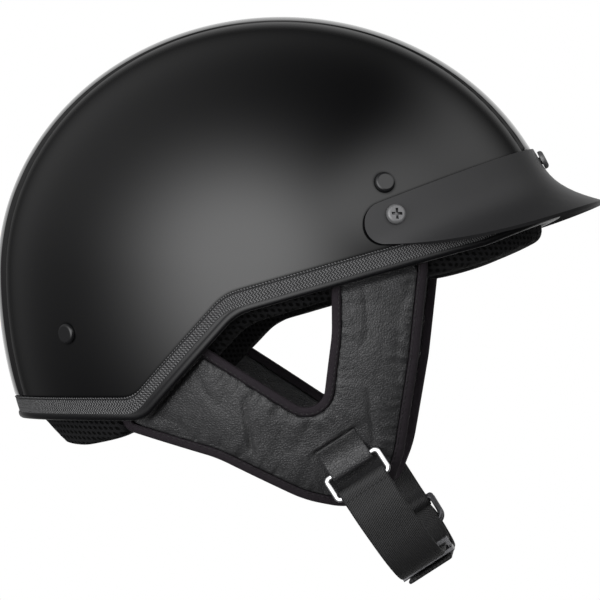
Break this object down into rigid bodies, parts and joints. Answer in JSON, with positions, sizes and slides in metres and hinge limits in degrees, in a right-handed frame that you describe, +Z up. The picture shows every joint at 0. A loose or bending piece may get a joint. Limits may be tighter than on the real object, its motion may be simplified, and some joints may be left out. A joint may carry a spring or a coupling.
{
  "type": "half shell motorcycle helmet",
  "caption": "Half shell motorcycle helmet with a short snap visor, woven edge trim, Y shaped leather side panels and a webbing chin strap on metal rings.",
  "frame": {"origin": "centre of the wearer's head, where the helmet is held: the middle of the shell's ellipse at its widest level", "axes": "+X to the front of the helmet, +Y to the wearer's left, +Z up"},
  "size_m": [0.3021, 0.2338, 0.2818],
  "materials": {
    "shell": "high gloss black",
    "trim": "woven texture with a smooth bead",
    "foam": "expanded foam",
    "pad_fabric": "black spacer mesh",
    "visor": "satin black",
    "black_screw": "black",
    "steel": "plain",
    "webbing": "woven nylon",
    "rivet": "gloss black",
    "leather": "black, lightly creased",
    "binding": "black cloth",
    "ring": "polished",
    "slider": "dark metal"
  },
  "bodies": {
    "helmet": {"outer_shell": "shell", "edge_trim": "trim", "impact_liner": "foam", "crown_pad": "pad_fabric", "brow_pad": "pad_fabric", "neck_roll": "pad_fabric", "visor": "visor", "front_visor_screw": "black_screw", "front_visor_nut": "steel", "right_side_pad": "pad_fabric", "right_visor_screw": "black_screw", "right_visor_nut": "steel", "right_front_webbing": "webbing", "right_front_rivet": "rivet", "right_front_washer": "steel", "right_rear_webbing": "webbing", "right_rear_rivet": "rivet", "right_rear_washer": "steel", "right_side_panel": "leather", "right_edge_binding": "binding", "right_window_binding": "binding", "right_ring_tab": "leather", "left_side_pad": "pad_fabric", "left_visor_screw": "black_screw", "left_visor_nut": "steel", "left_front_webbing": "webbing", "left_front_rivet": "rivet", "left_front_washer": "steel", "left_rear_webbing": "webbing", "left_rear_rivet": "rivet", "left_rear_washer": "steel", "left_side_panel": "leather", "left_edge_binding": "binding", "left_window_binding": "binding", "left_ring_tab": "leather"},
    "right_ring": {"right_ring": "ring"},
    "chin_strap": {"chin_strap": "webbing"},
    "left_ring": {"left_ring": "ring"},
    "d_ring_tab": {"d_ring_tab": "webbing"},
    "inner_d_ring": {"inner_d_ring": "slider"},
    "outer_d_ring": {"outer_d_ring": "slider"},
    "strap_slider": {"strap_slider": "slider"}
  },
  "joints": [
    {"name": "right_ring_pivot", "type": "hinge", "parent": "helmet", "child": "right_ring", "pos_m": [0.03939, -0.082, -0.09187], "axis": [0.8387, 0, 0.5446], "range_deg": [-10, 10]},
    {"name": "strap_pivot", "type": "hinge", "parent": "right_ring", "child": "chin_strap", "pos_m": [0.04571, -0.082, -0.1016], "axis": [0.8387, 0, 0.5446], "range_deg": [-10, 10]},
    {"name": "left_ring_pivot", "type": "hinge", "parent": "helmet", "child": "left_ring", "pos_m": [0.03939, 0.082, -0.09187], "axis": [0.8387, 0, 0.5446], "range_deg": [-10, 10]},
    {"name": "d_tab_pivot", "type": "hinge", "parent": "left_ring", "child": "d_ring_tab", "pos_m": [0.04571, 0.082, -0.1016], "axis": [0.8387, 0, 0.5446], "range_deg": [-10, 10]},
    {"name": "inner_d_ring_pivot", "type": "hinge", "parent": "d_ring_tab", "child": "inner_d_ring", "pos_m": [0.0601, 0.07855, -0.12376], "axis": [0.8387, 0, 0.5446], "range_deg": [-5, 0]},
    {"name": "outer_d_ring_pivot", "type": "hinge", "parent": "d_ring_tab", "child": "outer_d_ring", "pos_m": [0.06084, 0.08145, -0.12489], "axis": [0.8387, 0, 0.5446], "range_deg": [-5, 0]},
    {"name": "slider_slide", "type": "slide", "parent": "chin_strap", "child": "strap_slider", "axis": [0, 1, 0], "range_m": [-0.006, 0.025]}
  ],
  "couplings": [
    {"joint": "strap_pivot", "follows": "right_ring_pivot", "ratio": -1},
    {"joint": "left_ring_pivot", "follows": "right_ring_pivot", "ratio": 1},
    {"joint": "d_tab_pivot", "follows": "right_ring_pivot", "ratio": -1}
  ]
}
